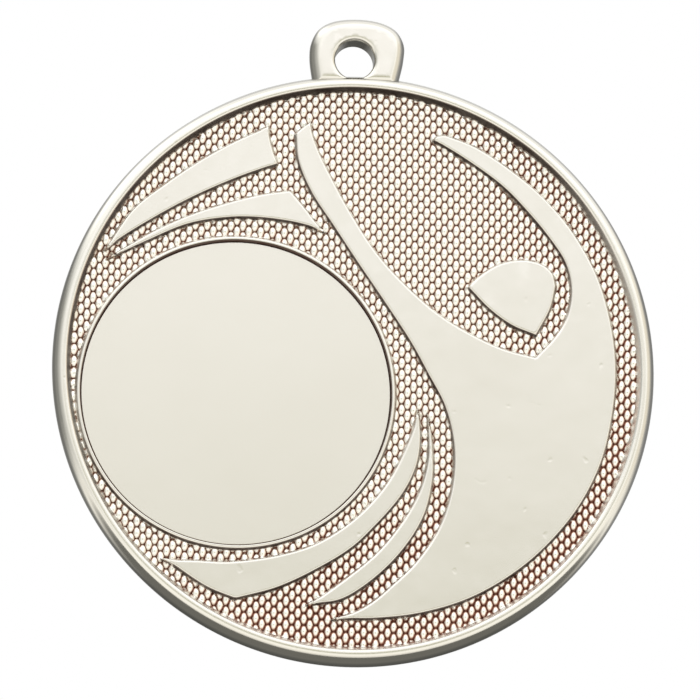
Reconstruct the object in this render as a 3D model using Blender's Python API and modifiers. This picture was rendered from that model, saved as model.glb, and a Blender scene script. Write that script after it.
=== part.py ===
"""A round sports medal with a cast ribbon loop, a blank centre disc and the pad that sticks the disc down.

Metres, +Z up. The medal stands as it hangs: loop towards +Z, obverse towards -Y.
The origin is the middle of the flat reverse field, and that field lies in the plane y = 0.
Every piece is drawn lying down, in millimetres, with its height towards the obverse as local Z,
and is then stood up by one turn about X.
"""

import math

import bmesh
import bpy
import numpy as np
from mathutils import Vector

MM = 0.001

# heights above the reverse field, in millimetres
RIM_FRONT = 2.5
RIM_BACK = -0.5
GROUND = 1.8
RELIEF_TOP = 2.2
POCKET_FLOOR = 0.7
PAD_HEIGHTS = (0.73, 0.88)
DISC_HEIGHTS = (0.91, 1.7)
LOOP_HEIGHTS = (-0.3, 2.3)

# radii, in millimetres
RADIUS = 25.0
RIM_LAND_OUT = 24.2
RIM_LAND_IN = 23.85
RIM_WALL_TOP = 23.7
RIM_WALL_FOOT = 23.4
POCKET_RADIUS = 12.9
LIP_LAND = 13.2
LIP_FOOT = 13.45
DISC_RADIUS = 12.8
PAD_RADIUS = 12.0
LOOP_EDGE = 0.7
HOLE_RADIUS = 1.65

POCKET_CENTRE = (-9.78, -2.34)
HOLE_CENTRE = (-0.23, 26.29)

# how far a raised shape's wall leans inwards from foot to top; on the two narrow shapes it leans less
DRAFT = 0.22
NARROW_DRAFT = 0.1
STEPS_ROUND = 96
STEPS_POCKET = 80
STEPS_HOLE = 32
POINT_SPACING = 1.35

# Outlines of the raised shapes at the foot of their walls: each is a ring of runs, a run is smooth
# through its knots, and runs meet at corners.
UPPER_BAR = [
    [(-21.02, 9.10), (-20.17, 10.95), (-18.57, 13.26), (-16.11, 15.32), (-13.0, 17.57), (-9.99, 19.33), (-7.25, 20.61)],
    [(-7.25, 20.61), (-6.95, 19.02), (-6.33, 17.0)],
    [(-6.33, 17.0), (-9.91, 15.6), (-13.91, 13.66), (-17.91, 11.25), (-21.02, 9.10)],
]
LOWER_BAR = [
    [(-21.3, 8.25), (-20.1, 9.2), (-17.4, 11.05), (-14.0, 12.75), (-11.0, 13.85), (-8.0, 14.7), (-5.42, 15.13)],
    [(-5.42, 15.13), (-3.95, 13.4), (-2.35, 11.2)],
    [(-2.35, 11.2), (-5.03, 11.9), (-8.03, 12.25), (-10.52, 12.2), (-13.91, 11.55), (-17.92, 9.72), (-21.3, 8.25)],
]
FIGURE = [
    [(-5.35, 19.89), (-4.60, 20.55), (-3.8, 21.0)],
    [(-3.8, 21.0), (-3.1, 18.75), (-1.66, 15.78), (-0.16, 13.08), (1.85, 9.99), (3.86, 7.7), (6.88, 5.02),
     (9.9, 3.18), (12.46, 2.06), (14.97, 1.43)],
    [(14.97, 1.43), (16.48, 3.11), (17.39, 4.73), (17.75, 6.93), (17.30, 9.13), (16.01, 11.15), (14.01, 13.56),
     (12.01, 15.57), (9.01, 17.72), (6.16, 19.43)],
    [(6.16, 19.43), (6.51, 20.0), (7.32, 20.26)],
    [(7.32, 20.26), (10.01, 19.25), (13.02, 17.33), (16.02, 14.81), (18.52, 11.74), (20.52, 7.96), (21.66, 3.67),
     (21.98, -0.13), (21.62, -4.0), (20.80, -7.5), (19.15, -11.05), (16.90, -14.12), (13.88, -16.98),
     (9.92, -19.43), (5.85, -20.80), (1.85, -21.36), (-2.15, -21.38)],
    [(-2.15, -21.38), (1.05, -19.90), (3.36, -17.93), (5.17, -16.06), (6.99, -13.14), (7.95, -9.78), (8.07, -6.59),
     (7.33, -3.30), (5.88, -0.51), (4.54, 1.93), (2.54, 4.99), (0.06, 8.61), (-2.03, 11.76), (-3.97, 14.71),
     (-5.11, 17.44), (-5.35, 19.89)],
]
HEAD = [
    [(9.12, 6.98), (9.97, 7.98), (11.99, 9.31), (14.0, 9.69), (15.60, 9.36), (16.60, 8.52), (16.94, 7.32)],
    [(16.94, 7.32), (16.49, 5.32), (15.17, 2.78)],
    [(15.17, 2.78), (12.97, 3.62), (10.97, 5.05), (9.12, 6.98)],
]
LEAF = [
    [(-16.02, -16.41), (-13.12, -16.36), (-10.13, -16.4), (-6.13, -15.77), (-3.13, -14.75), (-0.12, -12.73),
     (2.49, -9.79), (4.21, -6.38), (5.30, -3.14)],
    [(5.30, -3.14), (5.75, -5.31), (5.60, -7.60), (5.05, -9.30), (4.0, -11.16), (2.04, -13.51), (0.04, -15.47),
     (-2.94, -17.39), (-6.14, -18.96), (-9.64, -19.98)],
    [(-9.64, -19.98), (-12.14, -18.99), (-16.02, -16.41)],
]
CRESCENT = [
    [(5.97, -3.01), (6.02, -5.31), (5.93, -7.61), (5.29, -10.22), (3.89, -12.87), (1.87, -15.44), (-0.64, -17.62),
     (-4.10, -20.24)],
    [(-4.10, -20.24), (-1.15, -19.93), (1.06, -18.68), (3.93, -15.97), (6.03, -12.60), (6.80, -9.30), (6.76, -6.80),
     (6.36, -4.50), (5.97, -3.01)],
]
RELIEF = {
    "upper_bar": (UPPER_BAR, DRAFT),
    "lower_bar": (LOWER_BAR, NARROW_DRAFT),
    "figure": (FIGURE, DRAFT),
    "head": (HEAD, DRAFT),
    "leaf": (LEAF, DRAFT),
    "crescent": (CRESCENT, NARROW_DRAFT),
}
LOOP = [
    [(-3.62, 24.0), (-3.97, 26.5), (-3.86, 27.8), (-3.25, 29.0), (-2.15, 29.68), (0.0, 29.97), (2.1, 29.68),
     (3.3, 29.0), (3.93, 27.85), (3.9, 26.5), (3.35, 24.0)],
    [(3.35, 24.0), (-3.62, 24.0)],
]


def new_collection(name):
    made = bpy.data.collections.new(name)
    bpy.context.scene.collection.children.link(made)
    return made


def metal(name, colour, roughness, metallic):
    made = bpy.data.materials.new(name)
    made.use_nodes = True
    shader = made.node_tree.nodes["Principled BSDF"]
    shader.inputs["Base Color"].default_value = (*colour, 1.0)
    shader.inputs["Roughness"].default_value = roughness
    shader.inputs["Metallic"].default_value = metallic
    made.diffuse_color = (*colour, 1.0)
    return made


def stand_up(obj):
    obj.rotation_euler = (math.pi / 2, 0.0, 0.0)


def new_object(name, mesh, collection):
    obj = bpy.data.objects.new(name, mesh)
    collection.objects.link(obj)
    stand_up(obj)
    return obj


def run_points(knots):
    """Points of a centripetal Catmull-Rom curve through the knots, without the last one."""
    fixed = np.array(knots, float)
    if len(fixed) == 2:
        return [tuple(fixed[0])]
    ends = np.vstack([2 * fixed[0] - fixed[1], fixed, 2 * fixed[-1] - fixed[-2]])
    points = []
    for a, b, c, d in zip(ends, ends[1:], ends[2:], ends[3:]):
        before = math.sqrt(math.dist(a, b))
        here = math.sqrt(math.dist(b, c))
        after = math.sqrt(math.dist(c, d))
        leave = c - b + here * ((b - a) / before - (c - a) / (before + here))
        arrive = c - b + here * ((d - c) / after - (d - b) / (here + after))
        parts = max(1, round(math.dist(b, c) / POINT_SPACING))
        for k in range(parts):
            t = k / parts
            blend = (
                (2 * t**3 - 3 * t**2 + 1) * b
                + (t**3 - 2 * t**2 + t) * leave
                + (3 * t**2 - 2 * t**3) * c
                + (t**3 - t**2) * arrive
            )
            points.append(tuple(blend))
    return points


def ring_points(runs):
    """The whole closed outline, counter-clockwise."""
    points = [point for run in runs for point in run_points(run)]
    area = sum(
        p[0] * q[1] - q[0] * p[1] for p, q in zip(points, points[1:] + points[:1])
    )
    return points if area > 0 else points[::-1]


def slab(name, points, low, high, collection):
    """A straight-sided slab of the outline between two heights: a filled 2D curve, made a mesh."""
    curve = bpy.data.curves.new(name, "CURVE")
    curve.dimensions = "2D"
    curve.fill_mode = "BOTH"
    curve.extrude = (high - low) / 2 * MM
    spline = curve.splines.new("POLY")
    spline.points.add(len(points) - 1)
    for point, (x, y) in zip(spline.points, points):
        point.co = (x * MM, y * MM, 0.0, 1.0)
    spline.use_cyclic_u = True
    drawn = bpy.data.objects.new(name + "_outline", curve)
    collection.objects.link(drawn)
    bpy.context.view_layer.update()
    graph = bpy.context.evaluated_depsgraph_get()
    mesh = bpy.data.meshes.new_from_object(drawn.evaluated_get(graph))
    bpy.data.objects.remove(drawn, do_unlink=True)
    mesh.name = name
    work = bmesh.new()
    work.from_mesh(mesh)
    bmesh.ops.remove_doubles(work, verts=work.verts[:], dist=1e-6)
    bmesh.ops.dissolve_limit(
        work,
        angle_limit=math.radians(0.05),
        verts=[],
        edges=work.edges[:],
    )
    bmesh.ops.translate(work, verts=work.verts[:], vec=Vector((0, 0, (low + high) / 2 * MM)))
    bmesh.ops.recalc_face_normals(work, faces=work.faces[:])
    work.to_mesh(mesh)
    work.free()
    return new_object(name, mesh, collection)


def drafted(name, points, draft, collection):
    """A raised shape: a straight root sunk below the ground, then a wall leaning inwards to a flat top."""
    obj = slab(name, points, GROUND - 0.4, GROUND, collection)
    work = bmesh.new()
    work.from_mesh(obj.data)
    top = [face for face in work.faces if face.normal.z > 0.9]
    bmesh.ops.inset_region(
        work,
        faces=top,
        thickness=draft * MM,
        depth=(RELIEF_TOP - GROUND) * MM,
        use_even_offset=True,
    )
    work.to_mesh(obj.data)
    work.free()
    return obj


def turned(name, profile, centre, steps, collection):
    """A solid of revolution about the medal's facing axis, from a profile of (radius, height) pairs."""
    mesh = bpy.data.meshes.new(name)
    verts = [(r * MM, 0.0, h * MM) for r, h in profile]
    mesh.from_pydata(verts, [(k, k + 1) for k in range(len(verts) - 1)], [])
    obj = new_object(name, mesh, collection)
    obj.location = (centre[0] * MM, 0.0, centre[1] * MM)
    screw = obj.modifiers.new("turn", "SCREW")
    screw.axis = "Z"
    screw.angle = math.tau
    screw.steps = steps
    screw.render_steps = steps
    screw.use_merge_vertices = True
    screw.merge_threshold = 1e-6
    return obj


def boolean(obj, other, operation):
    step = obj.modifiers.new(other.name, "BOOLEAN")
    step.operation = operation
    step.solver = "EXACT"
    step.object = other


def finish(obj, material):
    """Smooth shading on the curved surfaces, and one material."""
    bpy.context.view_layer.update()
    graph = bpy.context.evaluated_depsgraph_get()
    mesh = bpy.data.meshes.new_from_object(obj.evaluated_get(graph))
    mesh.name = obj.name
    obj.modifiers.clear()
    obj.data = mesh
    mesh.materials.clear()
    mesh.materials.append(material)
    mesh.shade_smooth()
    mesh.set_sharp_from_angle(angle=math.radians(28))


for old in list(bpy.data.objects):
    bpy.data.objects.remove(old, do_unlink=True)

parts = new_collection("medal")
helpers = new_collection("helpers")

silver = metal("cast silver", (0.83, 0.815, 0.765), 0.22, 1.0)
blank = metal("satin disc", (0.82, 0.80, 0.75), 0.28, 1.0)
foam = metal("adhesive pad", (0.86, 0.86, 0.84), 0.9, 0.0)

# The casting: disc and rim turned in one, with the edge rounded as half an ellipse.
edge = []
for k in range(9):
    turn = math.pi * (0.5 - k / 8)
    middle = (RIM_FRONT + RIM_BACK) / 2
    edge.append(
        (
            RIM_LAND_OUT + (RADIUS - RIM_LAND_OUT) * math.cos(turn),
            middle + (RIM_FRONT - middle) * math.sin(turn),
        )
    )
body_profile = [
    (0.0, GROUND),
    (RIM_WALL_FOOT, GROUND),
    (RIM_WALL_TOP, RIM_FRONT - 0.12),
    (RIM_LAND_IN, RIM_FRONT),
    *edge,
    (RIM_LAND_IN, RIM_BACK),
    (RIM_WALL_TOP, RIM_BACK + 0.12),
    (RIM_WALL_FOOT, 0.0),
    (0.0, 0.0),
]
body = turned("medal_body", body_profile, (0.0, 0.0), STEPS_ROUND, parts)

lip_profile = [
    (0.0, RELIEF_TOP),
    (LIP_LAND, RELIEF_TOP),
    (LIP_FOOT, GROUND),
    (LIP_FOOT, GROUND - 0.5),
    (0.0, GROUND - 0.5),
]
lip = turned("lip", lip_profile, POCKET_CENTRE, STEPS_POCKET, helpers)

loop = slab("loop", ring_points(LOOP), *LOOP_HEIGHTS, helpers)
rounding = loop.modifiers.new("rounding", "BEVEL")
rounding.width = LOOP_EDGE * MM
rounding.segments = 3
rounding.limit_method = "ANGLE"
rounding.angle_limit = math.radians(60)

pocket_profile = [
    (0.0, RELIEF_TOP + 1.0),
    (POCKET_RADIUS, RELIEF_TOP + 1.0),
    (POCKET_RADIUS, POCKET_FLOOR),
    (0.0, POCKET_FLOOR),
]
pocket = turned("pocket", pocket_profile, POCKET_CENTRE, STEPS_POCKET, helpers)

hole_profile = [
    (0.0, LOOP_HEIGHTS[1] + 0.3),
    (HOLE_RADIUS + 0.4, LOOP_HEIGHTS[1] + 0.3),
    (HOLE_RADIUS, LOOP_HEIGHTS[1] - 0.25),
    (HOLE_RADIUS, LOOP_HEIGHTS[0] + 0.25),
    (HOLE_RADIUS + 0.4, LOOP_HEIGHTS[0] - 0.3),
    (0.0, LOOP_HEIGHTS[0] - 0.3),
]
hole = turned("hole", hole_profile, HOLE_CENTRE, STEPS_HOLE, helpers)

boolean(body, loop, "UNION")
boolean(body, lip, "UNION")
for relief_name, (runs, draft) in RELIEF.items():
    raised = drafted(relief_name, ring_points(runs), draft, helpers)
    boolean(body, raised, "UNION")
boolean(body, pocket, "DIFFERENCE")
boolean(body, hole, "DIFFERENCE")

# The blank disc, with a small broken edge, and the pad under it.
low, high = DISC_HEIGHTS
disc_profile = [
    (0.0, high),
    (DISC_RADIUS - 0.08, high),
    (DISC_RADIUS, high - 0.08),
    (DISC_RADIUS, low),
    (0.0, low),
]
disc = turned("centre_disc", disc_profile, POCKET_CENTRE, STEPS_POCKET, parts)

low, high = PAD_HEIGHTS
pad_profile = [(0.0, high), (PAD_RADIUS, high), (PAD_RADIUS, low), (0.0, low)]
pad = turned("adhesive_pad", pad_profile, POCKET_CENTRE, STEPS_POCKET // 2, parts)

finish(body, silver)
finish(disc, blank)
finish(pad, foam)

for helper in helpers.objects:
    helper.hide_render = True
    helper.display_type = "WIRE"
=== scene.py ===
"""The looks of a round cast medal: fine meshes for its parts, their finishes, the light and the camera.

Shapes are drawn in millimetres on the medal's face, x to the right and z up, with H the height above the
flat reverse field towards the obverse, and then placed in the shared frame, where y is minus H.
"""

import math

import bmesh
import bpy
import numpy as np
from mathutils import Matrix, Vector, geometry, kdtree


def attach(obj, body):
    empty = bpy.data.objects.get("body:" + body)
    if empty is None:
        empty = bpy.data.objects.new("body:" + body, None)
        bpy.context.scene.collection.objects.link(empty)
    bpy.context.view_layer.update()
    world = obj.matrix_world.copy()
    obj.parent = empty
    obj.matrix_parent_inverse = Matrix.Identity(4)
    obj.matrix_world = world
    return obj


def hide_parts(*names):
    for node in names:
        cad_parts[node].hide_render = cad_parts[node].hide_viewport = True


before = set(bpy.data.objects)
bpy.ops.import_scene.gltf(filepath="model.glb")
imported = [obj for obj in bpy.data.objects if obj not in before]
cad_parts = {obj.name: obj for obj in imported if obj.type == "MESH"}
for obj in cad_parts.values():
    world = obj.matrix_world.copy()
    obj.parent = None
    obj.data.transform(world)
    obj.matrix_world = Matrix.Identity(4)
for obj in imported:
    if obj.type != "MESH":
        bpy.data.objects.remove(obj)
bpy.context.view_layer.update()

MM = 0.001

# ---------------------------------------------------------------- sizes, in millimetres

# heights above the flat reverse field
RIM_BACK = -0.5
POCKET_FLOOR = 0.7
DISC_LOW, DISC_TOP = 0.91, 1.7
MIDDLE = 1.0
VALLEY = 1.6
RELIEF_TOP = 2.2
RIM_FRONT = 2.5

# radii about the medal's axis: the edge, the start of its rounding, the seam on the rim's top, the walls' feet
AXIS = (0.0, 0.0)
RADIUS = 25.0
RIM_LAND_OUT = 24.2
SEAM_RADIUS = 24.0
RIM_FOOT = 23.36
FIELD_EDGE = 23.25

# radii about the recess's centre: the foot of the lip's wall, the seam on the lip's top, and the disc inside
POCKET_CENTRE = (-9.78, -2.34)
LIP_FOOT = 13.45
LIP_SEAM = 13.12
DISC_RADIUS = 12.8
DISC_CHAMFER = 0.05

# the ribbon loop: its hole, half its thickness, and how far in its outer edge and the hole's edge are rounded
HOLE_CENTRE = (-0.23, 26.29)
HOLE_RADIUS = 1.65
LOOP_HALF = 1.3
LOOP_ROUND = 0.85
HOLE_ROUND = 0.34

# pips: ovals on a square lattice turned by 45 degrees
PIP_PITCH = 0.988
PIP_HALF_WIDTH = 0.37
PIP_HALF_HEIGHT = 0.56
PIP_HEIGHT = 0.31
PIP_ORIGIN = (0.0, 0.49)

# the dark line between two pips, tarnish whose width also paints shade: half its width where it falls to the right,
# where it rises, and where one pip is right above the other; how far its edges fade; what is added to rising lines
# on the right, and low down, as painted shade
LINE_HALF = 0.042
RISING_LINE_HALF = 0.06
FOOT_LINE_HALF = 0.07
LINE_FADE = 0.035
RIGHT_GROWTH = 0.02
LOW_GROWTH = 0.026

# walls of the raised shapes: how steep, how far the top edge is rounded, and the fillet at the foot
WALL_SLOPE = 2.3
RIM_SLOPE = 1.9
LIP_SLOPE = 2.0
EDGE_ROUNDING = 0.26
LIP_ROUNDING = 0.14
FOOT_BLEND = 0.1

# where a shape's half width is under ROOMY its walls steepen, up to this many times, to reach full height
ROOMY = 0.42
MAX_GAIN = 4.0

# where mesh points lie: rings on the walls, spacing along outlines and on flats, and points on a round ring
WALL_RINGS = (0.0, 0.07, 0.13, 0.18, 0.23, 0.27, 0.32, 0.37, 0.44, 0.52)
RIM_RINGS = (23.36, 23.43, 23.51, 23.6, 23.69, 23.78, 23.84, 23.91)
LIP_RINGS = (13.5, 13.45, 13.4, 13.34, 13.28, 13.22, 13.17)
STEP = 0.24
FLAT_STEP = 0.7
FLAT_INSET = 0.6
REVERSE_STEP = 0.9
LOOP_STEP = 0.25
CROWDED = 0.03
RIM_COUNT = 720
LIP_COUNT = 480
DISC_COUNT = 360
BORE_COUNT = 160

# ---------------------------------------------------------------- outlines of the raised shapes
# Each is a ring of runs. A run is smooth through its knots, and runs meet at corners.

UPPER_BAR = [
    [(-21.02, 9.10), (-20.17, 10.95), (-18.57, 13.26), (-16.11, 15.32), (-13.0, 17.57), (-9.99, 19.33),
     (-7.25, 20.61)],
    [(-7.25, 20.61), (-6.95, 19.02), (-6.33, 17.0)],
    [(-6.33, 17.0), (-9.91, 15.6), (-13.91, 13.66), (-17.91, 11.25), (-21.02, 9.10)],
]
LOWER_BAR = [
    [(-21.3, 8.25), (-20.1, 9.2), (-17.4, 11.05), (-14.0, 12.75), (-11.0, 13.85), (-8.0, 14.7),
     (-5.42, 15.13)],
    [(-5.42, 15.13), (-3.95, 13.4), (-2.35, 11.2)],
    [(-2.35, 11.2), (-5.03, 11.9), (-8.03, 12.25), (-10.52, 12.2), (-13.91, 11.55), (-17.92, 9.72),
     (-21.3, 8.25)],
]
FIGURE = [
    [(-5.35, 19.89), (-4.60, 20.55), (-3.8, 21.0)],
    [(-3.8, 21.0), (-3.1, 18.75), (-1.66, 15.78), (-0.16, 13.08), (1.85, 9.99), (3.86, 7.7), (6.88, 5.02),
     (9.9, 3.18), (12.46, 2.06), (14.97, 1.43)],
    [(14.97, 1.43), (16.48, 3.11), (17.39, 4.73), (17.75, 6.93), (17.30, 9.13), (16.01, 11.15),
     (14.01, 13.56), (12.01, 15.57), (9.01, 17.72), (6.16, 19.43)],
    [(6.16, 19.43), (6.51, 20.0), (7.32, 20.26)],
    [(7.32, 20.26), (10.01, 19.25), (13.02, 17.33), (16.02, 14.81), (18.52, 11.74), (20.52, 7.96),
     (21.66, 3.67), (21.98, -0.13), (21.62, -4.0), (20.80, -7.5), (19.15, -11.05), (16.90, -14.12), (13.88, -16.98),
     (9.92, -19.43), (5.85, -20.80), (1.85, -21.36), (-2.15, -21.38)],
    [(-2.15, -21.38), (1.05, -19.90), (3.36, -17.93), (5.17, -16.06), (6.99, -13.14), (7.95, -9.78),
     (8.07, -6.59), (7.33, -3.30), (5.88, -0.51), (4.54, 1.93), (2.54, 4.99), (0.06, 8.61),
     (-2.03, 11.76), (-3.97, 14.71),
     (-5.11, 17.44), (-5.35, 19.89)],
]
HEAD = [
    [(9.12, 6.98), (9.97, 7.98), (11.99, 9.31), (14.0, 9.69), (15.60, 9.36), (16.60, 8.52), (16.94, 7.32)],
    [(16.94, 7.32), (16.49, 5.32), (15.17, 2.78)],
    [(15.17, 2.78), (12.97, 3.62), (10.97, 5.05), (9.12, 6.98)],
]
LEAF = [
    [(-16.02, -16.41), (-13.12, -16.36), (-10.13, -16.4), (-6.13, -15.77), (-3.13, -14.75), (-0.12, -12.73),
     (2.49, -9.79), (4.21, -6.38), (5.30, -3.14)],
    [(5.30, -3.14), (5.75, -5.31), (5.60, -7.60), (5.05, -9.30), (4.0, -11.16), (2.04, -13.51),
     (0.04, -15.47), (-2.94, -17.39), (-6.14, -18.96), (-9.64, -19.98)],
    [(-9.64, -19.98), (-12.14, -18.99), (-16.02, -16.41)],
]
CRESCENT = [
    [(5.97, -3.01), (6.02, -5.31), (5.93, -7.61), (5.29, -10.22), (3.89, -12.87), (1.87, -15.44),
     (-0.64, -17.62), (-4.10, -20.24)],
    [(-4.10, -20.24), (-1.15, -19.93), (1.06, -18.68), (3.93, -15.97), (6.03, -12.60), (6.80, -9.30),
     (6.76, -6.80), (6.36, -4.50), (5.97, -3.01)],
]
LOOP = [
    [(-3.62, 24.0), (-3.97, 26.5), (-3.86, 27.8), (-3.25, 29.0), (-2.15, 29.68), (0.0, 29.97), (2.1, 29.68),
     (3.3, 29.0), (3.93, 27.85), (3.9, 26.5), (3.35, 24.0)],
    [(3.35, 24.0), (-3.62, 24.0)],
]


# ---------------------------------------------------------------- outlines and distances


def smooth(value, low, high):
    """0 up to low, 1 from high, and an even S-curve between."""
    share = np.clip((value - low) / (high - low), 0, 1)
    return share * share * (3 - 2 * share)


def distance_from(centre, points):
    return np.hypot(points[:, 0] - centre[0], points[:, 1] - centre[1])


def circle(centre, radius, count):
    angle = np.linspace(0, math.tau, count, endpoint=False)
    return np.column_stack([centre[0] + radius * np.cos(angle), centre[1] + radius * np.sin(angle)])


def grid_points(low, high, step):
    """The points of a square grid that starts at the low corner."""
    x, z = np.meshgrid(np.arange(low[0], high[0], step), np.arange(low[1], high[1], step))
    return np.column_stack([x.ravel(), z.ravel()])


def run_points(knots, step):
    """Evenly spread points of a centripetal Catmull-Rom curve through the knots, last one left out."""
    fixed = np.array(knots, float)
    ends = np.vstack([2 * fixed[0] - fixed[1], fixed, 2 * fixed[-1] - fixed[-2]])
    fine = []
    for a, b, c, d in zip(ends, ends[1:], ends[2:], ends[3:]):
        before, here, after = (math.sqrt(math.dist(p, q)) for p, q in ((a, b), (b, c), (c, d)))
        leave = c - b + here * ((b - a) / before - (c - a) / (before + here))
        arrive = c - b + here * ((d - c) / after - (d - b) / (here + after))
        t = np.linspace(0, 1, 40, endpoint=False)[:, None]
        fine.append(
            (2 * t**3 - 3 * t**2 + 1) * b
            + (t**3 - 2 * t**2 + t) * leave
            + (3 * t**2 - 2 * t**3) * c
            + (t**3 - t**2) * arrive
        )
    fine = np.vstack(fine + [fixed[-1:]])
    along = np.concatenate([[0], np.cumsum(np.linalg.norm(np.diff(fine, axis=0), axis=1))])
    count = max(2, round(along[-1] / step))
    at = np.linspace(0, along[-1], count, endpoint=False)
    return np.column_stack([np.interp(at, along, fine[:, k]) for k in (0, 1)])


class Outline:
    """A closed outline, counter-clockwise, that can tell how deep inside it a point lies."""

    def __init__(self, runs, step=STEP):
        pieces = [run_points(run, step) for run in runs]
        self.points = np.vstack(pieces)
        starts = np.cumsum([0] + [len(p) for p in pieces[:-1]])
        following = np.roll(self.points, -1, axis=0)
        area = np.sum(self.points[:, 0] * following[:, 1] - following[:, 0] * self.points[:, 1])
        if area < 0:
            starts = (len(self.points) - starts) % len(self.points)
            self.points = np.roll(self.points[::-1], 1, axis=0)
        self.corners = {int(start) for start in starts}
        self.tree = kdtree.KDTree(len(self.points))
        for index, (x, z) in enumerate(self.points):
            self.tree.insert((x, z, 0.0), index)
        self.tree.balance()
        self.gains = np.ones(len(self.points))

    def inside(self, query):
        x, z = query.T
        crossed = np.zeros(len(query), bool)
        for (ax, az), (bx, bz) in zip(self.points, np.roll(self.points, -1, axis=0)):
            if az == bz:
                continue
            spans = (az > z) != (bz > z)
            crossed ^= spans & (x < (bx - ax) * (z - az) / (bz - az) + ax)
        return crossed

    def distance(self, query):
        """Distance from each point to the outline."""
        count = len(self.points)
        nearest = np.array([self.tree.find((x, z, 0.0))[1] for x, z in query], int)
        best = np.full(len(query), np.inf)
        for shift in (-1, 0):
            a = self.points[(nearest + shift) % count]
            b = self.points[(nearest + shift + 1) % count]
            along = b - a
            t = np.sum((query - a) * along, axis=1) / np.maximum(np.sum(along**2, axis=1), 1e-12)
            foot = a + np.clip(t, 0, 1)[:, None] * along
            best = np.minimum(best, np.linalg.norm(query - foot, axis=1))
        return best

    def depth(self, query, reach=0.0):
        """How deep inside each point lies; outside it is minus the distance, or -1 beyond the reach."""
        low, high = self.points.min(axis=0) - reach, self.points.max(axis=0) + reach
        near = np.all((query >= low) & (query <= high), axis=1)
        found = np.full(len(query), -1.0)
        if near.any():
            part = query[near]
            found[near] = self.distance(part) * np.where(self.inside(part), 1.0, -1.0)
        return found

    def measure(self):
        """Find how much steeper the walls must be at each point of the outline, from the room inside it."""
        along = np.roll(self.points, -1, axis=0) - np.roll(self.points, 1, axis=0)
        along /= np.maximum(np.linalg.norm(along, axis=1), 1e-9)[:, None]
        inward = np.column_stack([-along[:, 1], along[:, 0]])
        room = np.full(len(self.points), 0.02)
        for reach in np.arange(0.05, 0.66, 0.05):
            room = np.maximum(room, self.depth(self.points + reach * inward))
        gains = np.clip(ROOMY / room, 1.0, MAX_GAIN)
        self.gains = sum(np.roll(gains, shift) for shift in (-2, -1, 0, 1, 2)) / 5

    def steepness(self, query):
        """The gain of the outline's point nearest to each point."""
        return self.gains[[self.tree.find((x, z, 0.0))[1] for x, z in query]]

    def ring(self, offset):
        """Points at this depth inside the outline, in an arc round each corner that points inwards."""
        if offset == 0:
            return self.points
        forward = np.roll(self.points, -1, axis=0) - self.points
        backward = self.points - np.roll(self.points, 1, axis=0)
        forward /= np.linalg.norm(forward, axis=1)[:, None]
        backward /= np.linalg.norm(backward, axis=1)[:, None]
        out = []
        for index, (point, a, b) in enumerate(zip(self.points, backward, forward)):
            turn = a[0] * b[1] - a[1] * b[0]
            if index in self.corners and turn < -0.05:
                first = math.atan2(a[0], -a[1])
                swing = math.asin(max(-1.0, turn))
                parts = max(1, math.ceil(abs(swing) * offset / STEP))
                for k in range(parts + 1):
                    angle = first + swing * k / parts
                    out.append(point + offset * np.array([math.cos(angle), math.sin(angle)]))
                continue
            mean = (a + b) / max(np.linalg.norm(a + b), 1e-6)
            out.append(point + offset * np.array([-mean[1], mean[0]]))
        out = np.array(out)
        return out[np.abs(self.depth(out, 0.2) - offset) < 0.03 * offset]


# ---------------------------------------------------------------- heights of the obverse

shapes = [Outline(runs) for runs in (UPPER_BAR, LOWER_BAR, FIGURE, HEAD, LEAF, CRESCENT)]
for shape in shapes:
    shape.measure()


def wall(deep, slope, top, rounding):
    """Height of a straight wall that rises from the valley and rounds over into its top."""
    rise = top - VALLEY
    climb = slope * np.maximum(deep, 0)
    share = np.clip(0.5 + 0.5 * (rise - climb) / rounding, 0, 1)
    return VALLEY + rise + share * (climb - rise) - rounding * share * (1 - share)


def blended(a, b):
    """The higher of the two, with a small hollow fillet where they meet."""
    share = np.clip(0.5 + 0.5 * (b - a) / FOOT_BLEND, 0, 1)
    return a + share * (b - a) + FOOT_BLEND * share * (1 - share)


def pips(points):
    """(how far out on its own oval, squared; how far from the line between ovals; half that line's width)."""
    x, z = (points - np.array(PIP_ORIGIN)).T / PIP_PITCH
    away, squared = [], []
    for shift in (0.0, 0.5):
        across = x - shift - np.round(x - shift)
        up = z - shift - np.round(z - shift)
        for row in (up, up - np.where(up < 0, -1.0, 1.0)):
            away.append(np.column_stack([across, row]) * PIP_PITCH)
            squared.append(np.sum((away[-1] / (PIP_HALF_WIDTH, PIP_HALF_HEIGHT)) ** 2, axis=1))
    away, squared = np.array(away), np.array(squared)
    order = np.argsort(squared, axis=0)
    each = np.arange(len(points))
    first, second = squared[order[0], each], squared[order[1], each]
    step = away[order[1], each] - away[order[0], each]
    pull = step / (PIP_HALF_WIDTH**2, PIP_HALF_HEIGHT**2)
    # painted shade: the lines are wider on rising diagonals, under each pip, to the right and low down, where the
    # light leaves them darker
    rising = RISING_LINE_HALF + RIGHT_GROWTH * smooth(points[:, 0], 8.0, 20.0)
    half = np.where(step[:, 0] * step[:, 1] < 0, rising, LINE_HALF)
    half = np.where(np.abs(step[:, 0]) < PIP_PITCH / 4, FOOT_LINE_HALF, half)
    half = half + LOW_GROWTH * smooth(points @ (0.02, -0.04), 0.3, 0.8)
    return first, (second - first) / (2 * np.linalg.norm(pull, axis=1)), half


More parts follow.
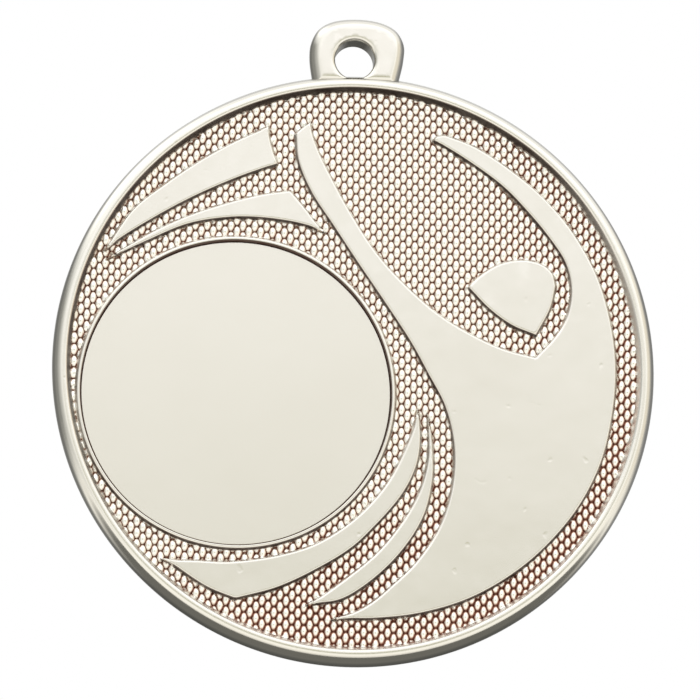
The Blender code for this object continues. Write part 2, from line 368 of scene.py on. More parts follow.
def obverse(points):
    """(height, groove, side, polish) at each point of the obverse, outside the round recess.

    Groove is 1 in the dark lines between pips: tarnish, widened as painted shade. Side is 1 on the walls of rim,
    lip and raised shapes, where painted shade and painted highlight go. Polish is 1 on the tops of pips. The pips
    run into all the walls.
    """
    squared, gap, half_line = pips(points)
    ground = VALLEY + PIP_HEIGHT * np.sqrt(np.clip(1 - squared, 0, 1))
    height = ground
    line = 1 - smooth(gap, half_line - LINE_FADE, half_line + LINE_FADE)
    corner = smooth(squared, 0.93, 1.03)
    groove = np.maximum(line, 0.4 * corner)
    polish = 1 - smooth(squared, 0.55, 0.95)
    side = np.zeros(len(points))

    walls = [
        (distance_from(AXIS, points) - RIM_FOOT, RIM_SLOPE, RIM_FRONT, EDGE_ROUNDING),
        (LIP_FOOT - distance_from(POCKET_CENTRE, points), LIP_SLOPE, RELIEF_TOP, LIP_ROUNDING),
    ]
    for outline in shapes:
        slope = WALL_SLOPE * outline.steepness(points)
        walls.append((outline.depth(points, 0.2), slope, RELIEF_TOP, EDGE_ROUNDING))
    for deep, slope, top, rounding in walls:
        raised = wall(deep, slope, top, rounding)
        here = deep > -1e-6
        buried = np.where(here, smooth(raised - ground, -0.03, 0.07), 0.0)
        height = np.where(here, blended(height, raised), height)
        on_wall = buried * (1 - smooth((raised - VALLEY) / (top - VALLEY), 0.86, 0.99))
        side = np.where(here, on_wall, side)
        groove = groove * (1 - buried)
        polish = polish * (1 - buried)
    return height, groove, side, polish


# ---------------------------------------------------------------- mesh building


CLEAN = (0.0, 0.0, 0.0)


class Build:
    """Vertices and faces gathered part by part. A vertex's masks are its (groove, side, polish): tarnish with
    painted shade, painted wall shade and highlight, and polish.
    """

    def __init__(self):
        self.verts = []
        self.faces = []
        self.surface_masks = []

    def add(self, points, heights, surface_masks=None):
        start = len(self.verts)
        self.surface_masks.extend([CLEAN] * len(points) if surface_masks is None else surface_masks)
        heights = np.broadcast_to(heights, (len(points),))
        self.verts.extend((x, h, z) for (x, z), h in zip(points, heights))
        return np.arange(start, start + len(points))

    def band(self, outer, inner):
        """Quads between two rings of equal count, seen from the obverse, both counter-clockwise."""
        for a, b, c, d in zip(outer, np.roll(outer, -1), np.roll(inner, -1), inner):
            self.faces.append((int(a), int(b), int(c), int(d)))

    def fan(self, ring, centre):
        for a, b in zip(ring, np.roll(ring, -1)):
            self.faces.append((int(a), int(b), int(centre)))

    def mesh(self, name, sharp):
        data = bpy.data.meshes.new(name)
        world = [(x * MM, -h * MM, z * MM) for x, h, z in self.verts]
        data.from_pydata(world, [], self.faces)
        data.validate()
        for which, attribute in enumerate(("groove", "side", "polish")):
            values = [film[which] for film in self.surface_masks]
            data.attributes.new(attribute, "FLOAT", "POINT").data.foreach_set("value", values)
        data.shade_smooth()
        data.set_sharp_from_angle(angle=math.radians(sharp))
        obj = bpy.data.objects.new(name, data)
        bpy.context.scene.collection.objects.link(obj)
        return obj


def triangulate(points, loops, keep):
    """Delaunay triangles over the points, with each loop's edges kept: (points, triangles, new places)."""
    coords = [Vector((float(x), float(z))) for x, z in points]
    edges = [(int(a), int(b)) for loop in loops for a, b in zip(loop, np.roll(loop, -1))]
    verts, _, faces, origin, _, _ = geometry.delaunay_2d_cdt(coords, edges, [], 0, 1e-5)
    flat = np.array([(v.x, v.y) for v in verts])
    tris = np.array(faces, int)
    centres = flat[tris].mean(axis=1)
    tris = tris[keep(centres)]
    a, b, c = flat[tris[:, 0]], flat[tris[:, 1]], flat[tris[:, 2]]
    area = (b[:, 0] - a[:, 0]) * (c[:, 1] - a[:, 1]) - (b[:, 1] - a[:, 1]) * (c[:, 0] - a[:, 0])
    tris[area < 0] = tris[area < 0][:, ::-1]
    place = {}
    for new, olds in enumerate(origin):
        for old in olds:
            place[old] = new
    return flat, tris, place


def pip_points():
    """Points that follow each pip: its top, two rings round it, and the six-sided line about it."""
    reach = int(RADIUS / PIP_PITCH) + 2
    half = PIP_PITCH / 2
    stretch = (PIP_HALF_WIDTH / PIP_HALF_HEIGHT) ** 2
    far = half * (1 + stretch) / 2
    near = far - stretch * half
    corners = [(far, 0.0), (near, half), (-near, half), (-far, 0.0), (-near, -half), (near, -half)]
    corners = [np.array(corner) for corner in corners]

    def ring(scale, parts_side, parts_end):
        found = []
        for side, (a, b) in enumerate(zip(corners, corners[1:] + corners[:1])):
            parts = parts_end if side in (1, 4) else parts_side
            along = np.arange(parts)[:, None] / parts
            found.append(scale * ((1 - along) * a + along * b))
        return np.vstack(found)

    pattern = np.vstack([[(0.0, 0.0)], ring(0.45, 1, 1), ring(0.82, 3, 2), ring(1.0, 5, 3)])
    centres = []
    for i in range(-reach, reach + 1):
        for k in range(-reach, reach + 1):
            centres.append((i * PIP_PITCH, k * PIP_PITCH))
            centres.append(((i + 0.5) * PIP_PITCH, (k + 0.5) * PIP_PITCH))
    centres = np.array(centres) + np.array(PIP_ORIGIN)
    cloud = (centres[:, None, :] + pattern[None, :, :]).reshape(-1, 2)
    reach_in = 0.12
    cloud = cloud[distance_from(AXIS, cloud) < RIM_FOOT + 0.14]
    cloud = cloud[distance_from(POCKET_CENTRE, cloud) > LIP_FOOT - reach_in]
    for outline in shapes:
        cloud = cloud[outline.depth(cloud, 0.1) < reach_in]
    return cloud


def thinned(points, fixed, gap):
    """The points, less any that crowds an earlier one; the first ones are fixed."""
    taken = set()
    keep = []
    for index, (x, z) in enumerate(points):
        cell = (round(x / gap), round(z / gap))
        if index >= fixed and cell in taken:
            continue
        taken.add(cell)
        keep.append(index)
    return points[keep]


def obverse_points():
    """(points, loops) of the obverse from the recess to the top of the rim; the loops' points come first."""
    groups = [circle(AXIS, SEAM_RADIUS, RIM_COUNT), circle(POCKET_CENTRE, LIP_SEAM, LIP_COUNT)]
    fixed = RIM_COUNT + LIP_COUNT
    loops = [np.arange(RIM_COUNT), np.arange(RIM_COUNT, fixed)]
    groups += [circle(AXIS, radius, RIM_COUNT) for radius in RIM_RINGS]
    groups += [circle(POCKET_CENTRE, radius, LIP_COUNT) for radius in LIP_RINGS]
    groups.append(pip_points())
    for outline in shapes:
        groups += [outline.ring(offset) for offset in WALL_RINGS]
        grid = grid_points(outline.points.min(axis=0), outline.points.max(axis=0), FLAT_STEP)
        groups.append(grid[outline.depth(grid) > FLAT_INSET])
    points = np.vstack(groups)
    between = distance_from(AXIS, points) < SEAM_RADIUS - 0.02
    between &= distance_from(POCKET_CENTRE, points) > LIP_SEAM + 0.02
    between[:fixed] = True
    return thinned(points[between], fixed, CROWDED), loops


def add_rings(build, centre, count, last, section):
    """A ring for each (radius, height) of the section, each joined to the one before; gives the last one."""
    for radius, height in section:
        ring = build.add(circle(centre, radius, count), height)
        build.band(ring, last)
        last = ring
    return last


def add_rim(build, seam):
    """The rim's crown, its rounded edge and its wall on the reverse; gives the ring round the reverse field."""
    half_edge = (RIM_FRONT - RIM_BACK) / 2
    section = [(24.1, RIM_FRONT)]
    for k in range(15):
        turn = math.pi * (0.5 - k / 14)
        radius = RIM_LAND_OUT + (RADIUS - RIM_LAND_OUT) * math.cos(turn)
        section.append((radius, MIDDLE + half_edge * math.sin(turn)))
    section += [(24.0, RIM_BACK), (23.85, RIM_BACK + 0.01), (23.75, RIM_BACK + 0.06)]
    section += [(23.66, RIM_BACK + 0.16), (23.56, RIM_BACK + 0.32), (23.47, -0.06), (23.38, -0.015)]
    section.append((FIELD_EDGE, 0.0))
    return add_rings(build, AXIS, RIM_COUNT, seam, section)


def add_reverse_field(build, edge):
    grid = grid_points((-23.0, -23.0), (23.01, 23.01), REVERSE_STEP)
    grid = grid[distance_from(AXIS, grid) < FIELD_EDGE - 0.35]
    points = np.vstack([circle(AXIS, FIELD_EDGE, RIM_COUNT), grid])
    loop_of_edge = np.arange(RIM_COUNT)
    flat, tris, place = triangulate(points, [loop_of_edge], lambda centres: np.ones(len(centres), bool))
    on_edge = {place[k]: edge[k] for k in range(RIM_COUNT)}
    table = np.empty(len(flat), int)
    for new in range(len(flat)):
        table[new] = on_edge[new] if new in on_edge else build.add(flat[new : new + 1], 0.0)[0]
    build.faces.extend((int(table[c]), int(table[b]), int(table[a])) for a, b, c in tris)


def add_recess(build, seam):
    """The rounded edge of the lip, the wall of the recess, darkened beside the disc with tarnish and painted shade
    in the narrow gap, and its floor.
    """
    section = (
        (12.97, RELIEF_TOP),
        (12.94, RELIEF_TOP - 0.01),
        (12.92, RELIEF_TOP - 0.04),
        (12.91, RELIEF_TOP - 0.08),
        (12.86, DISC_TOP + 0.12),
        (12.82, DISC_TOP - 0.02),
        (12.82, POCKET_FLOOR + 0.06),
        (12.75, POCKET_FLOOR),
        (8.0, POCKET_FLOOR),
        (4.0, POCKET_FLOOR),
    )
    last = seam
    for radius, height in section:
        # tarnish and painted shade in the narrow gap beside the disc; its side share takes the painted wall shade
        film = (1.0, 0.6, 0.0) if 12.8 < radius < 12.925 else CLEAN
        ring = build.add(circle(POCKET_CENTRE, radius, LIP_COUNT), height, [film] * LIP_COUNT)
        build.band(last, ring)
        last = ring
    build.fan(last, build.add(np.array([POCKET_CENTRE]), POCKET_FLOOR)[0])


def make_casting():
    def outside_recess(centres):
        return distance_from(POCKET_CENTRE, centres) > LIP_SEAM

    points, loops = obverse_points()
    flat, tris, place = triangulate(points, loops, outside_recess)
    build = Build()
    height, *surface_masks = obverse(flat)
    index = build.add(flat, height, list(zip(*surface_masks)))
    build.faces.extend(tuple(int(index[v]) for v in tri) for tri in tris)
    rim_seam, lip_seam = (index[[place[k] for k in loop]] for loop in loops)
    edge = add_rim(build, rim_seam)
    add_reverse_field(build, edge)
    add_recess(build, lip_seam)
    return build.mesh("medal_casting", 40)


def loop_points(outline):
    """(points, loops) of the ribbon loop's face, finer where its outer edge and the hole's edge are round."""
    outer = outline.points
    fixed = len(outer) + BORE_COUNT
    groups = [outer, circle(HOLE_CENTRE, HOLE_RADIUS, BORE_COUNT)]
    for k in range(1, 10):
        groups.append(outline.ring(LOOP_ROUND * (1 - math.cos(math.pi / 2 * k / 9))))
    for k in range(1, 7):
        radius = HOLE_RADIUS + HOLE_ROUND * (1 - math.cos(math.pi / 2 * k / 6))
        groups.append(circle(HOLE_CENTRE, radius, BORE_COUNT))
    grid = grid_points((-3.6, 24.1), (3.6, 29.9), LOOP_STEP)
    from_hole = distance_from(HOLE_CENTRE, grid) - HOLE_RADIUS
    groups.append(grid[(outline.depth(grid) > LOOP_ROUND + 0.1) & (from_hole > HOLE_ROUND + 0.1)])
    points = np.vstack(groups)
    clear = distance_from(HOLE_CENTRE, points) - HOLE_RADIUS > 0.004
    clear[:fixed] = True
    return points[clear], [np.arange(len(outer)), np.arange(len(outer), fixed)]


def make_loop():
    """The ribbon loop, the same on both sides of the medal's middle plane."""
    outline = Outline(LOOP, 0.1)

    def metal_here(centres):
        return (distance_from(HOLE_CENTRE, centres) > HOLE_RADIUS * 0.999) & outline.inside(centres)

    points, loops = loop_points(outline)
    flat, tris, place = triangulate(points, loops, metal_here)
    share = np.clip(np.maximum(outline.depth(flat, 0.1), 0.0) / LOOP_ROUND, 0, 1)
    half = LOOP_HALF * np.sqrt(1 - (1 - share) ** 2)
    edge = 1 - np.clip((distance_from(HOLE_CENTRE, flat) - HOLE_RADIUS) / HOLE_ROUND, 0, 1)
    half = half - HOLE_ROUND * (1 - np.sqrt(np.clip(1 - edge**2, 0, 1)))
    outer, bore = ([place[k] for k in loop] for loop in loops)
    half[outer] = 0.0
    build = Build()
    front = build.add(flat, MIDDLE + half)
    back = build.add(flat, MIDDLE - half)
    back[outer] = front[outer]
    build.faces.extend((int(front[a]), int(front[b]), int(front[c])) for a, b, c in tris)
    build.faces.extend((int(back[c]), int(back[b]), int(back[a])) for a, b, c in tris)
    build.band(front[bore], back[bore])
    obj = build.mesh("ribbon_loop", 50)
    work = bmesh.new()
    work.from_mesh(obj.data)
    bmesh.ops.delete(work, geom=[v for v in work.verts if not v.link_faces], context="VERTS")
    work.to_mesh(obj.data)
    work.free()
    return obj


def make_disc():
    """The blank disc that lies in the recess, with a softly broken edge."""
    build = Build()
    section = [(radius, DISC_TOP) for radius in (5.0, 7.5, 10.0, 12.0, 12.5, 12.66, 12.72)]
    for k in range(6):
        turn = math.pi / 2 * k / 5
        radius = DISC_RADIUS - DISC_CHAMFER + DISC_CHAMFER * math.sin(turn)
        section.append((radius, DISC_TOP - DISC_CHAMFER + DISC_CHAMFER * math.cos(turn)))
    section += [(DISC_RADIUS, DISC_LOW + 0.04), (DISC_RADIUS - 0.04, DISC_LOW)]
    section += [(9.0, DISC_LOW), (4.0, DISC_LOW)]
    first = build.add(circle(POCKET_CENTRE, 2.5, DISC_COUNT), DISC_TOP)
    last = add_rings(build, POCKET_CENTRE, DISC_COUNT, first, section)
    build.fan(first, build.add(np.array([POCKET_CENTRE]), DISC_TOP)[0])
    build.fan(last[::-1], build.add(np.array([POCKET_CENTRE]), DISC_LOW)[0])
    return build.mesh("blank_disc", 40)


casting = make_casting()
loop = make_loop()
disc = make_disc()
for piece, node, slot in (
    (casting, "medal_body", "cast_silver"),
    (loop, "medal_body", "cast_silver"),
    (disc, "centre_disc", "satin_disc"),
):
    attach(piece, "root")
    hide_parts(node)


# ---------------------------------------------------------------- finishes


class Nodes:
    """A few lines of help for wiring a node tree."""

    def __init__(self, tree):
        self.tree = tree

    def add(self, kind, **settings):
        node = self.tree.nodes.new(kind)
        inputs = settings.pop("inputs", {})
        for key, value in settings.items():
            setattr(node, key, value)
        for key, value in inputs.items():
            if isinstance(value, bpy.types.NodeSocket):
                self.tree.links.new(value, node.inputs[key])
            else:
                node.inputs[key].default_value = value
        return node

    def link(self, a, b):
        self.tree.links.new(a, b)

    def math(self, operation, a, b=None, clamp=False):
        inputs = {0: a} if b is None else {0: a, 1: b}
        return self.add("ShaderNodeMath", operation=operation, use_clamp=clamp, inputs=inputs).outputs[0]

    def product(self, first, *others):
        for other in others:
            first = self.math("MULTIPLY", first, other)
        return first

    def attribute(self, name):
        return self.add("ShaderNodeAttribute", attribute_name=name).outputs["Fac"]

    def noise(self, where, scale, detail=3.0, rough=0.5):
        made = self.add(
            "ShaderNodeTexNoise",
            inputs={"Vector": where, "Scale": scale, "Detail": detail, "Roughness": rough},
        )
        return made.outputs["Fac"]

    def spread(self, value, low, high, to_low, to_high):
        made = self.add(
            "ShaderNodeMapRange",
            inputs={"Value": value, "From Min": low, "From Max": high, "To Min": to_low, "To Max": to_high},
        )
        return made.outputs["Result"]

    def ramp(self, value, stops):
        """A smooth colour ramp; stops are (position from -1 to 1, red, green, blue)."""
        made = self.add("ShaderNodeValToRGB", inputs={0: value})
        made.color_ramp.interpolation = "EASE"
        elements = made.color_ramp.elements
        elements.remove(elements[1])
        for k, (place, *colour) in enumerate(stops):
            element = elements[0] if k == 0 else elements.new((place + 1) / 2)
            element.position = (place + 1) / 2
            element.color = (*colour, 1.0)
        return made.outputs["Color"]

    def mix(self, share, a, b, blend="MIX"):
        made = self.add("ShaderNodeMix", data_type="RGBA", blend_type=blend, inputs={0: share, 6: a, 7: b})
        return made.outputs[2]

    def bumped(self, height, strength, distance, shader):
        inputs = {"Strength": strength, "Distance": distance, "Height": height}
        self.link(self.add("ShaderNodeBump", inputs=inputs).outputs["Normal"], shader.inputs["Normal"])


def new_material(name):
    material = bpy.data.materials.new(name)
    material.use_nodes = True
    nodes = Nodes(material.node_tree)
    shader = material.node_tree.nodes["Principled BSDF"]
    where = nodes.add("ShaderNodeTexCoord").outputs["Object"]
    return material, nodes, shader, where


SILVER = (0.677, 0.66, 0.608, 1.0)
SILVER_DULL = (0.632, 0.612, 0.552, 1.0)
SILVER_POLISHED = (0.79, 0.78, 0.725, 1.0)
# painted highlight colour for walls that face up or to the left
SILVER_HIGHLIGHT_PAINT = (0.95, 0.94, 0.9, 1.0)
AMBER = (0.62, 0.4, 0.24, 1.0)
# thick tarnish in the grooves, also standing in for shade where the lines are widened
GROOVE_TARNISH_AND_SHADE = (0.235, 0.092, 0.06, 1.0)
# painted shade colour for walls that face down
WALL_SHADE_PAINT = (0.055, 0.036, 0.03, 1.0)
# painted shade colour for faces turned away from the viewer
GRAZING_SHADE_PAINT = (0.05, 0.05, 0.05, 1.0)


def silver_colour(nodes, cloud, side, tarnish_and_shade, painted_highlight):
    """Plain silver, polished on the pips, with a painted highlight on walls that face up or left, tarnish in the
    grooves and painted shade on walls that face down.
    """
    colour = nodes.mix(nodes.spread(cloud, 0.35, 0.7, 0.0, 0.35), SILVER, SILVER_DULL)
    colour = nodes.mix(nodes.attribute("polish"), colour, SILVER_POLISHED)
    colour = nodes.mix(painted_highlight, colour, SILVER_HIGHLIGHT_PAINT)
    # thin tarnish is amber and thick tarnish nearly black, and in the grooves it also carries painted shade; on the
    # walls the painted shade is a plain dark colour
    tarnish = nodes.mix(nodes.spread(tarnish_and_shade, 0.2, 0.7, 0.0, 1.0), AMBER, GROOVE_TARNISH_AND_SHADE)
    share = nodes.mix(side, nodes.spread(tarnish_and_shade, 0.0, 0.7, 0.0, 0.98), nodes.math("MULTIPLY", tarnish_and_shade, 0.98))
    colour = nodes.mix(share, colour, nodes.mix(side, tarnish, WALL_SHADE_PAINT))
    # painted shade: surfaces that turn away from the viewer are darkened in colour, except the walls
    grazing = nodes.add("ShaderNodeLayerWeight", inputs={"Blend": 0.5}).outputs["Facing"]
    open_side = nodes.math("SUBTRACT", 1.0, side, clamp=True)
    grazing_shade = nodes.product(nodes.spread(grazing, 0.46, 0.66, 0.0, 0.5), open_side)
    return nodes.mix(grazing_shade, colour, GRAZING_SHADE_PAINT)


def silver_material():
    """Silver finish on a die casting: faint ripple, small pits, tarnish in the grooves, painted shade on walls that
    face down, painted highlight on walls that face up or left, and smoother worn edges.
    """
    material, nodes, shader, where = new_material("cast silver plate")
    cloud = nodes.noise(where, 130.0, 4.0)
    film = nodes.noise(where, 700.0, 5.0, 0.6)
    surface = nodes.add("ShaderNodeNewGeometry")
    groove = nodes.attribute("groove")
    side = nodes.attribute("side")

    # which way a wall faces in the plane of the medal; beyond the rim's foot the lean is the other way
    facing = nodes.add("ShaderNodeSeparateXYZ", inputs={0: surface.outputs["Normal"]})
    tilt = nodes.math("SUBTRACT", 1.0001, nodes.math("MULTIPLY", facing.outputs["Y"], facing.outputs["Y"]))
    upward = nodes.math("DIVIDE", facing.outputs["Z"], nodes.math("SQRT", tilt))
    sideways = nodes.math("DIVIDE", facing.outputs["X"], nodes.math("SQRT", tilt))
    from_axis = nodes.add("ShaderNodeVectorMath", operation="LENGTH", inputs={0: where}).outputs["Value"]
    lean = nodes.spread(from_axis, 0.0231, 0.0234, 0.15, -0.35)
    upward = nodes.math("ADD", upward, nodes.math("MULTIPLY", sideways, lean))

    # painted shade and highlight: walls that face down are darkened in colour, and those that face up or to the
    # left are lightened
    under = nodes.math("MULTIPLY", nodes.spread(upward, -0.5, 0.42, 1.0, 0.0), side)
    lit_above = nodes.spread(upward, 0.4, 0.8, 0.0, 1.0)
    lit_left = nodes.spread(sideways, -0.8, -0.4, 1.0, 0.0)
    painted_highlight = nodes.math("MAXIMUM", lit_above, lit_left)
    painted_highlight = nodes.product(painted_highlight, side, nodes.math("SUBTRACT", 1.0, under))
    # tarnish in the grooves and painted shade on walls that face down, made patchy by the film noise
    low = nodes.math("MAXIMUM", groove, under)
    tarnish_and_shade = nodes.math("MULTIPLY", low, nodes.spread(film, 0.3, 0.7, 0.85, 1.0), clamp=True)
    nodes.link(silver_colour(nodes, cloud, side, tarnish_and_shade, painted_highlight), shader.inputs["Base Color"])

    worn = nodes.spread(surface.outputs["Pointiness"], 0.505, 0.56, 0.0, 1.0)
    rough = nodes.spread(film, 0.25, 0.75, 0.17, 0.25)
    rough = nodes.math("SUBTRACT", rough, nodes.math("MULTIPLY", worn, 0.05))
    rough = nodes.math("ADD", rough, nodes.math("MULTIPLY", tarnish_and_shade, 0.15))
    rough = nodes.math("ADD", rough, nodes.math("MULTIPLY", side, 0.15))
    nodes.link(rough, shader.inputs["Roughness"])
    shader.inputs["Metallic"].default_value = 1.0

    ripple = nodes.noise(where, 260.0, 2.0)
    grain = nodes.noise(where, 5200.0, 2.0)
    pits = nodes.spread(nodes.noise(where, 900.0, 1.0), 0.23, 0.3, 0.0, 1.0)
    height = nodes.math("ADD", nodes.math("MULTIPLY", ripple, 0.6), nodes.math("MULTIPLY", grain, 0.05))
    height = nodes.math("ADD", height, nodes.math("MULTIPLY", pits, 0.25))
    nodes.bumped(height, 0.25, 0.00006, shader)
    return material


def disc_material():
    """The blank disc's smooth metal: fine haze, and hairlines that run one way."""
    material, nodes, shader, where = new_material("blank disc metal")
    cloud = nodes.noise(where, 90.0, 3.0)
    stretched = nodes.add("ShaderNodeMapping", inputs={"Vector": where, "Scale": (1.0, 1.0, 30.0)})
    hair = nodes.noise(stretched.outputs["Vector"], 900.0, 3.0, 0.6)
    colour = nodes.mix(nodes.spread(cloud, 0.35, 0.7, 0.0, 0.3), SILVER, SILVER_DULL)
    nodes.link(colour, shader.inputs["Base Color"])
    nodes.link(nodes.spread(hair, 0.2, 0.8, 0.19, 0.25), shader.inputs["Roughness"])
    shader.inputs["Metallic"].default_value = 1.0
    ripple = nodes.noise(where, 180.0, 2.0)
    height = nodes.math("ADD", nodes.math("MULTIPLY", ripple, 0.5), nodes.math("MULTIPLY", hair, 0.06))
    nodes.bumped(height, 0.2, 0.00005, shader)
    return material


def pad_material():
    """Soft white foam tape with open cells."""
    material, nodes, shader, where = new_material("adhesive foam")
    cells = nodes.add("ShaderNodeTexVoronoi", inputs={"Vector": where, "Scale": 4200.0}).outputs["Distance"]
    patch = nodes.noise(where, 600.0, 4.0)
    colour = nodes.mix(patch, (0.88, 0.88, 0.85, 1.0), (0.72, 0.71, 0.66, 1.0))
    nodes.link(colour, shader.inputs["Base Color"])
    nodes.link(nodes.spread(cells, 0.0, 0.8, 0.95, 0.75), shader.inputs["Roughness"])
    nodes.bumped(cells, 0.6, 0.00004, shader)
    return material


silver = silver_material()
casting.data.materials.append(silver)
loop.data.materials.append(silver)
disc.data.materials.append(disc_material())
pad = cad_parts["adhesive_pad"]
pad.data.materials.clear()
pad.data.materials.append(pad_material())


# ---------------------------------------------------------------- floor, light and camera

FLOOR_LEVEL = -0.14
FLOOR_HALF = 6.0

# the studio tent's light by height, from -1, straight down, to 1, straight up: before the medal and behind it
TENT_GAIN = 1.43
TENT_FRONT = (
    (-1.0, 0.4, 0.39, 0.36),
    (-0.72, 0.66, 0.64, 0.6),
    (-0.45, 0.84, 0.82, 0.77),
    (0.0, 0.87, 0.86, 0.82),
    (0.21, 0.91, 0.905, 0.885),
    (0.36, 1.0, 1.0, 0.99),
)
TENT_BEHIND = (
    (-0.6, 0.12, 0.12, 0.112),
    (-0.15, 0.08, 0.08, 0.072),
    (0.1, 0.24, 0.24, 0.23),
    (0.24, 0.33, 0.33, 0.325),
    (0.42, 0.42, 0.42, 0.41),
    (0.6, 0.8, 0.8, 0.79),
    (0.8, 1.0, 1.0, 1.0),
)
TABLE_TOP = (0.12, 0.118, 0.108, 1.0)
LEFT_SCREEN = (0.4, 0.4, 0.385, 1.0)
FAR_LEFT_SCREEN = (0.2, 0.2, 0.19, 1.0)
RIGHT_SCREEN = (0.66, 0.62, 0.54, 1.0)
FAR_RIGHT_SCREEN = (0.25, 0.25, 0.25, 1.0)
AHEAD_LOW = (0.48, 0.475, 0.345, 1.0)
AHEAD_HIGH = (1.165, 1.16, 1.2, 1.0)
AHEAD = (0.066, -0.974, 0.215)


def make_floor():
    data = bpy.data.meshes.new("floor")
    corners = [(x * FLOOR_HALF, y * FLOOR_HALF, 0) for x, y in ((-1, -1), (1, -1), (1, 1), (-1, 1))]
    data.from_pydata(corners, [], [(0, 1, 2, 3)])
    floor = bpy.data.objects.new("floor", data)
    floor.location = (0.0, 0.0, FLOOR_LEVEL)
    bpy.context.scene.collection.objects.link(floor)
    material, nodes, shader, where = new_material("pale floor")
    shade = nodes.mix(nodes.noise(where, 6.0, 2.0), (0.86, 0.86, 0.85, 1.0), (0.9, 0.9, 0.89, 1.0))
    nodes.link(shade, shader.inputs["Base Color"])
    shader.inputs["Roughness"].default_value = 0.8
    shader.inputs["Specular IOR Level"].default_value = 0.1
    data.materials.append(material)
    floor.visible_glossy = False


def tent_colour(nodes, x, y, z, ahead):
    """The tent's colour in each direction: front and back, a table top, and screens at eye level."""
    height = nodes.spread(z, -1.0, 1.0, 0.0, 1.0)
    front = nodes.ramp(height, TENT_FRONT)
    behind = nodes.ramp(height, TENT_BEHIND)
    # the dark table top is seen only by faces that turn well away from the viewer
    table = nodes.product(nodes.spread(y, -0.6, -0.48, 0.0, 1.0), nodes.spread(z, -0.45, -0.28, 1.0, 0.0))
    front = nodes.mix(table, front, TABLE_TOP)
    colour = nodes.mix(nodes.spread(y, 0.55, 0.86, 0.0, 1.0), front, behind)

    # grey screens stand to the left and to the right, darker towards the back
    from_level = nodes.math("ABSOLUTE", nodes.math("SUBTRACT", z, 0.2))
    at_level = nodes.spread(from_level, 0.22, 0.48, 1.0, 0.0)
    left = nodes.product(at_level, nodes.spread(x, -0.85, -0.15, 1.0, 0.0))
    right = nodes.product(at_level, nodes.spread(x, 0.45, 0.8, 0.0, 1.0))
    far_left = nodes.product(at_level, nodes.spread(y, -0.4, 0.15, 0.0, 1.0))
    far_left = nodes.product(far_left, nodes.spread(x, -0.4, -0.2, 1.0, 0.0))
    far_right = nodes.product(at_level, nodes.spread(y, -0.15, 0.3, 0.0, 1.0))
    far_right = nodes.product(far_right, nodes.spread(x, 0.2, 0.4, 0.0, 1.0))
    colour = nodes.mix(left, colour, LEFT_SCREEN)
    colour = nodes.mix(far_left, colour, FAR_LEFT_SCREEN)
    colour = nodes.mix(right, colour, RIGHT_SCREEN)
    colour = nodes.mix(far_right, colour, FAR_RIGHT_SCREEN)

    # straight ahead of the flats the tent darkens downwards
    downward = nodes.mix(nodes.spread(z, 0.148, 0.228, 0.0, 1.0), AHEAD_LOW, AHEAD_HIGH)
    return nodes.mix(nodes.spread(ahead, 0.95, 0.985, 0.0, 1.0), colour, downward, "MULTIPLY")


def tent_level(nodes, x, y, z, ahead):
    """The tent's strength: brighter overhead, dimmer at the camera's opening and in the back of the roof."""
    overhead = nodes.spread(z, 0.3, 0.7, 1.0, 1.12)
    opening = nodes.spread(ahead, 0.9, 0.975, 1.2, 1.0)
    roof = nodes.product(
        nodes.spread(z, 0.45, 0.7, 0.0, 1.0),
        nodes.spread(y, -0.75, -0.25, 0.0, 1.0),
        nodes.spread(x, -0.5, -0.25, 0.0, 0.33),
    )
    return nodes.product(overhead, opening, nodes.math("SUBTRACT", 1.0, roof), TENT_GAIN)


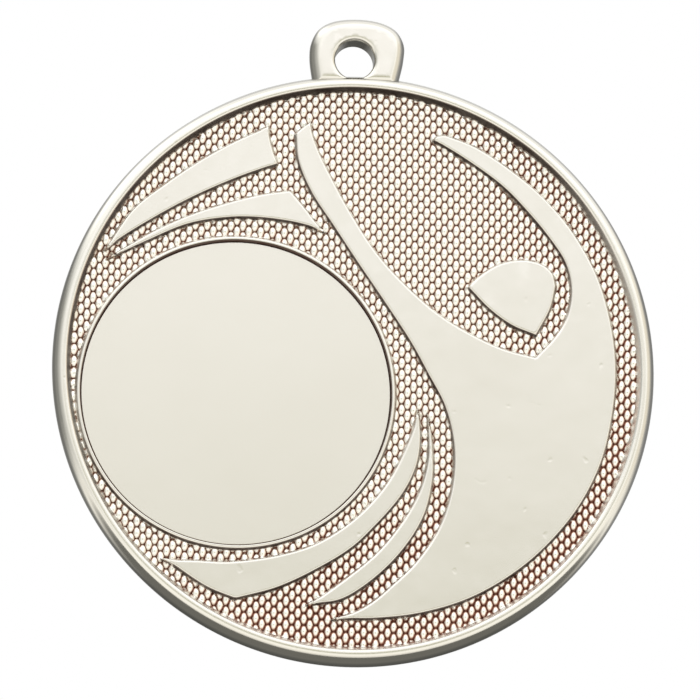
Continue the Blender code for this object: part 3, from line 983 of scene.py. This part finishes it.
def make_world():
    """A white studio tent that the metal reflects; the camera itself sees plain white."""
    world = bpy.data.worlds.new("studio")
    bpy.context.scene.world = world
    world.use_nodes = True
    world.node_tree.nodes.clear()
    nodes = Nodes(world.node_tree)
    toward = nodes.add("ShaderNodeTexCoord").outputs["Generated"]
    split = nodes.add("ShaderNodeSeparateXYZ", inputs={0: toward})
    facing = nodes.add("ShaderNodeVectorMath", operation="DOT_PRODUCT", inputs={0: toward, 1: AHEAD})
    seen_from = (split.outputs["X"], split.outputs["Y"], split.outputs["Z"], facing.outputs["Value"])
    inputs = {"Color": tent_colour(nodes, *seen_from), "Strength": tent_level(nodes, *seen_from)}
    glow = nodes.add("ShaderNodeBackground", inputs=inputs)
    white = nodes.add("ShaderNodeBackground", inputs={"Color": (1.0, 1.0, 1.0, 1.0), "Strength": 1.0})
    camera_ray = nodes.add("ShaderNodeLightPath").outputs["Is Camera Ray"]
    mixed = nodes.add("ShaderNodeMixShader", inputs={0: camera_ray, 1: glow.outputs[0], 2: white.outputs[0]})
    nodes.link(mixed.outputs[0], nodes.add("ShaderNodeOutputWorld").inputs["Surface"])


def make_light(name, place, aim, size, power):
    data = bpy.data.lights.new(name, "AREA")
    data.shape = "DISK"
    data.size = size
    data.energy = power
    lamp = bpy.data.objects.new(name, data)
    lamp.location = place
    lamp.rotation_euler = (Vector(aim) - Vector(place)).to_track_quat("-Z", "Y").to_euler()
    lamp.visible_glossy = False
    bpy.context.scene.collection.objects.link(lamp)


# the camera stands a little below and to the left of the medal's axis, and leans slightly
CAMERA_DISTANCE = 0.6
CAMERA_LEFT = math.radians(3.9)
CAMERA_BELOW = math.radians(12.4)
CAMERA_ROLL = math.radians(0.58)
SENSOR = 36.0
LENS = 372.137
SHIFT_X = -0.0051429
SHIFT_Y = 0.0282857


def make_camera():
    data = bpy.data.cameras.new("camera")
    data.sensor_width = SENSOR
    data.lens = LENS
    data.shift_x = SHIFT_X
    data.shift_y = SHIFT_Y
    data.clip_start = 0.01
    data.clip_end = 50.0
    camera = bpy.data.objects.new("camera", data)
    target = Vector((0.0, -MIDDLE * MM, 0.0))
    level = math.cos(CAMERA_BELOW)
    away = Vector((-math.sin(CAMERA_LEFT) * level, -math.cos(CAMERA_LEFT) * level, -math.sin(CAMERA_BELOW)))
    camera.location = target + CAMERA_DISTANCE * away
    look = (-away).to_track_quat("-Z", "Y").to_matrix()
    camera.rotation_euler = (look @ Matrix.Rotation(CAMERA_ROLL, 3, "Z")).to_euler()
    bpy.context.scene.collection.objects.link(camera)
    bpy.context.scene.camera = camera


make_floor()
make_world()
make_light("soft_top", (-0.25, -0.35, 0.7), (0, 0, 0), 0.5, 2.0)
make_camera()
bpy.context.scene.view_settings.view_transform = "Standard"
